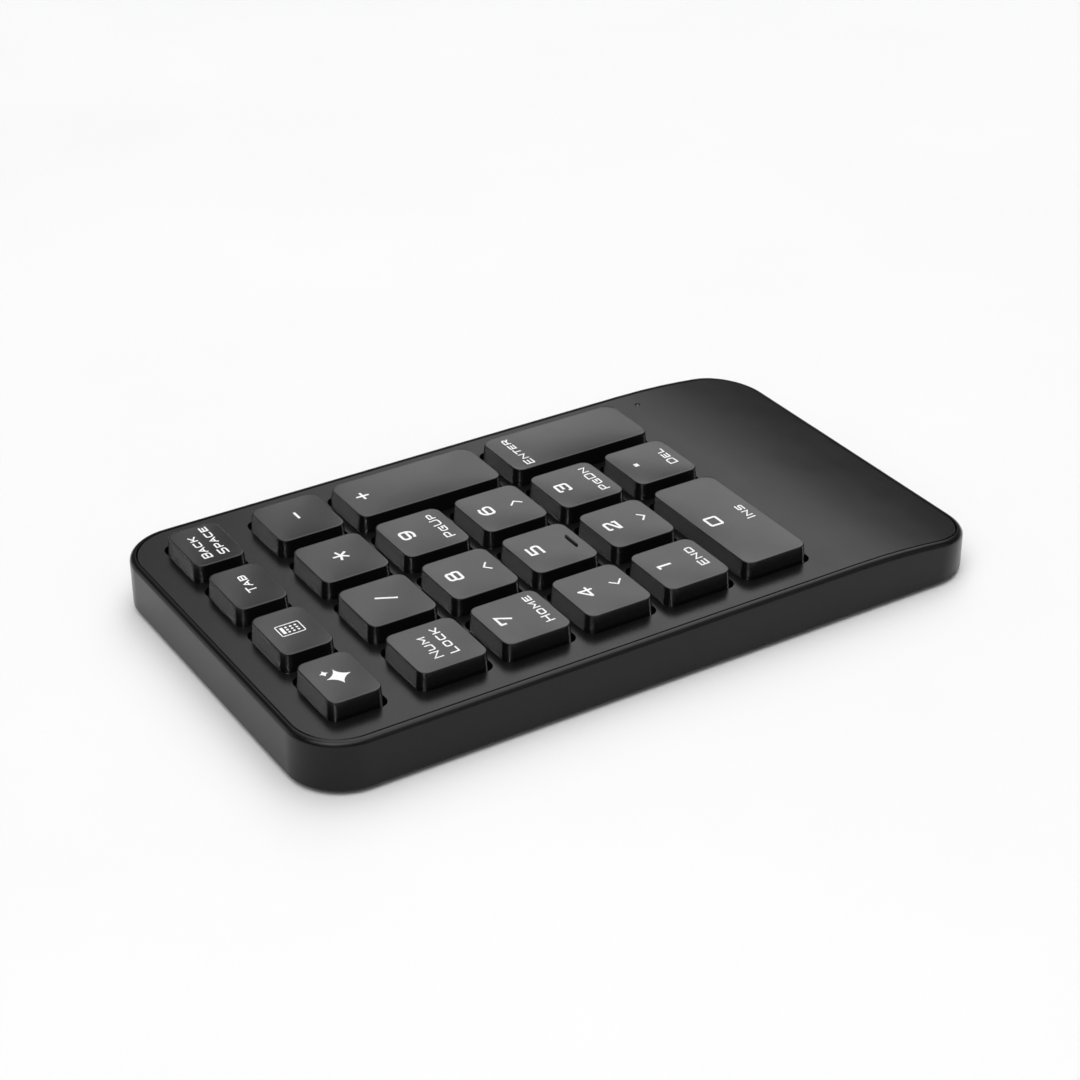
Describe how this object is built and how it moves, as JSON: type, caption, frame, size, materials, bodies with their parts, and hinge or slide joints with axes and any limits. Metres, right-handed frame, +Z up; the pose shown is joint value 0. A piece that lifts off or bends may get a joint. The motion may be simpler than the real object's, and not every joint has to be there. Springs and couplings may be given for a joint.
{
  "type": "numeric keypad",
  "caption": "Slim wireless numeric keypad: flat rounded case with an inset deck that curves down at the front, separate square keys, coin-cell door and power switch underneath.",
  "frame": {"origin": "centre of the footprint, on the surface the rubber feet stand on", "axes": "+X to the user's right, +Y away from the user towards the rear edge, +Z up through the keys"},
  "size_m": [0.0894, 0.156, 0.0152],
  "materials": {
    "key_plastic": "satin moulded, fine grain",
    "case_plastic": "satin moulded, fine grain",
    "switch_plastic": "satin",
    "frame_plastic": "plain",
    "dome_silicone": "translucent silicone",
    "membrane_film": "polyester film",
    "plate_steel": "zinc-plated sheet",
    "board_laminate": "solder mask",
    "pipe_acrylic": "clear moulded",
    "cell_steel": "nickel-plated",
    "contact_brass": "bright",
    "foot_rubber": "matt",
    "screw_steel": "black oxide",
    "wire_steel": "bright spring wire"
  },
  "bodies": {
    "base": {"top_cover": "case_plastic", "bottom_case": "case_plastic", "key_frame": "frame_plastic", "dome_mat": "dome_silicone", "membrane": "membrane_film", "backing_plate": "plate_steel", "circuit_board": "board_laminate", "led_pipe": "pipe_acrylic", "coin_cell": "cell_steel", "contact_top": "contact_brass", "contact_side": "contact_brass", "foot_1": "foot_rubber", "foot_2": "foot_rubber", "foot_3": "foot_rubber", "foot_4": "foot_rubber", "screw_1": "screw_steel", "screw_2": "screw_steel", "screw_3": "screw_steel", "screw_4": "screw_steel", "screw_5": "screw_steel", "screw_6": "screw_steel"},
    "key_assist": {"key_assist": "key_plastic"},
    "key_calculator": {"key_calculator": "key_plastic"},
    "key_tab": {"key_tab": "key_plastic"},
    "key_backspace": {"key_backspace": "key_plastic"},
    "key_numlock": {"key_numlock": "key_plastic"},
    "key_divide": {"key_divide": "key_plastic"},
    "key_multiply": {"key_multiply": "key_plastic"},
    "key_minus": {"key_minus": "key_plastic"},
    "key_7": {"key_7": "key_plastic"},
    "key_8": {"key_8": "key_plastic"},
    "key_9": {"key_9": "key_plastic"},
    "key_4": {"key_4": "key_plastic"},
    "key_5": {"key_5": "key_plastic"},
    "key_6": {"key_6": "key_plastic"},
    "key_1": {"key_1": "key_plastic"},
    "key_2": {"key_2": "key_plastic"},
    "key_3": {"key_3": "key_plastic"},
    "key_point": {"key_point": "key_plastic"},
    "key_plus": {"key_plus": "key_plastic"},
    "key_enter": {"key_enter": "key_plastic"},
    "key_0": {"key_0": "key_plastic"},
    "wire_plus": {"wire_plus": "wire_steel"},
    "wire_enter": {"wire_enter": "wire_steel"},
    "wire_0": {"wire_0": "wire_steel"},
    "battery_door": {"battery_door": "case_plastic"},
    "power_switch": {"power_switch": "switch_plastic"}
  },
  "joints": [
    {"name": "key_assist_press", "type": "slide", "parent": "base", "child": "key_assist", "axis": [0, 0, 1], "range_m": [-0.0022, 0], "stiffness_N_per_m": 200, "springref_m": 0.001},
    {"name": "key_calculator_press", "type": "slide", "parent": "base", "child": "key_calculator", "axis": [0, 0, 1], "range_m": [-0.0022, 0], "stiffness_N_per_m": 200, "springref_m": 0.001},
    {"name": "key_tab_press", "type": "slide", "parent": "base", "child": "key_tab", "axis": [0, 0, 1], "range_m": [-0.0022, 0], "stiffness_N_per_m": 200, "springref_m": 0.001},
    {"name": "key_backspace_press", "type": "slide", "parent": "base", "child": "key_backspace", "axis": [0, 0, 1], "range_m": [-0.0022, 0], "stiffness_N_per_m": 200, "springref_m": 0.001},
    {"name": "key_numlock_press", "type": "slide", "parent": "base", "child": "key_numlock", "axis": [0, 0, 1], "range_m": [-0.0022, 0], "stiffness_N_per_m": 200, "springref_m": 0.001},
    {"name": "key_divide_press", "type": "slide", "parent": "base", "child": "key_divide", "axis": [0, 0, 1], "range_m": [-0.0022, 0], "stiffness_N_per_m": 200, "springref_m": 0.001},
    {"name": "key_multiply_press", "type": "slide", "parent": "base", "child": "key_multiply", "axis": [0, 0, 1], "range_m": [-0.0022, 0], "stiffness_N_per_m": 200, "springref_m": 0.001},
    {"name": "key_minus_press", "type": "slide", "parent": "base", "child": "key_minus", "axis": [0, 0, 1], "range_m": [-0.0022, 0], "stiffness_N_per_m": 200, "springref_m": 0.001},
    {"name": "key_7_press", "type": "slide", "parent": "base", "child": "key_7", "axis": [0, 0, 1], "range_m": [-0.0022, 0], "stiffness_N_per_m": 200, "springref_m": 0.001},
    {"name": "key_8_press", "type": "slide", "parent": "base", "child": "key_8", "axis": [0, 0, 1], "range_m": [-0.0022, 0], "stiffness_N_per_m": 200, "springref_m": 0.001},
    {"name": "key_9_press", "type": "slide", "parent": "base", "child": "key_9", "axis": [0, 0, 1], "range_m": [-0.0022, 0], "stiffness_N_per_m": 200, "springref_m": 0.001},
    {"name": "key_4_press", "type": "slide", "parent": "base", "child": "key_4", "axis": [0, 0, 1], "range_m": [-0.0022, 0], "stiffness_N_per_m": 200, "springref_m": 0.001},
    {"name": "key_5_press", "type": "slide", "parent": "base", "child": "key_5", "axis": [0, 0, 1], "range_m": [-0.0022, 0], "stiffness_N_per_m": 200, "springref_m": 0.001},
    {"name": "key_6_press", "type": "slide", "parent": "base", "child": "key_6", "axis": [0, 0, 1], "range_m": [-0.0022, 0], "stiffness_N_per_m": 200, "springref_m": 0.001},
    {"name": "key_1_press", "type": "slide", "parent": "base", "child": "key_1", "axis": [0, 0, 1], "range_m": [-0.0022, 0], "stiffness_N_per_m": 200, "springref_m": 0.001},
    {"name": "key_2_press", "type": "slide", "parent": "base", "child": "key_2", "axis": [0, 0, 1], "range_m": [-0.0022, 0], "stiffness_N_per_m": 200, "springref_m": 0.001},
    {"name": "key_3_press", "type": "slide", "parent": "base", "child": "key_3", "axis": [0, 0, 1], "range_m": [-0.0022, 0], "stiffness_N_per_m": 200, "springref_m": 0.001},
    {"name": "key_point_press", "type": "slide", "parent": "base", "child": "key_point", "axis": [0, 0, 1], "range_m": [-0.0022, 0], "stiffness_N_per_m": 200, "springref_m": 0.001},
    {"name": "key_plus_press", "type": "slide", "parent": "base", "child": "key_plus", "axis": [0, 0, 1], "range_m": [-0.0022, 0], "stiffness_N_per_m": 260, "springref_m": 0.001},
    {"name": "key_enter_press", "type": "slide", "parent": "base", "child": "key_enter", "axis": [0, 0, 1], "range_m": [-0.0022, 0], "stiffness_N_per_m": 260, "springref_m": 0.001},
    {"name": "key_0_press", "type": "slide", "parent": "base", "child": "key_0", "axis": [0, 0, 1], "range_m": [-0.0022, 0], "stiffness_N_per_m": 260, "springref_m": 0.001},
    {"name": "wire_plus_tilt", "type": "hinge", "parent": "base", "child": "wire_plus", "pos_m": [0.0334, 0.01567, 0.0092], "axis": [0, 1, 0], "range_deg": [-19, 0]},
    {"name": "wire_enter_tilt", "type": "hinge", "parent": "base", "child": "wire_enter", "pos_m": [0.0334, -0.02141, 0.0092], "axis": [0, 1, 0], "range_deg": [-19, 0]},
    {"name": "wire_0_tilt", "type": "hinge", "parent": "base", "child": "wire_0", "pos_m": [-0.019, -0.03558, 0.0092], "axis": [1, 0, 0], "range_deg": [-19, 0]},
    {"name": "battery_door_turn", "type": "hinge", "parent": "base", "child": "battery_door", "pos_m": [-0.016, -0.0555, 0.0009], "axis": [0, 0, -1], "range_deg": [0, 45]},
    {"name": "power_switch_slide", "type": "slide", "parent": "base", "child": "power_switch", "axis": [1, 0, 0], "range_m": [0, 0.003]}
  ],
  "couplings": [
    {"joint": "wire_plus_tilt", "follows": "key_plus_press", "rad_per_m": 145},
    {"joint": "wire_enter_tilt", "follows": "key_enter_press", "rad_per_m": 145},
    {"joint": "wire_0_tilt", "follows": "key_0_press", "rad_per_m": 145}
  ]
}
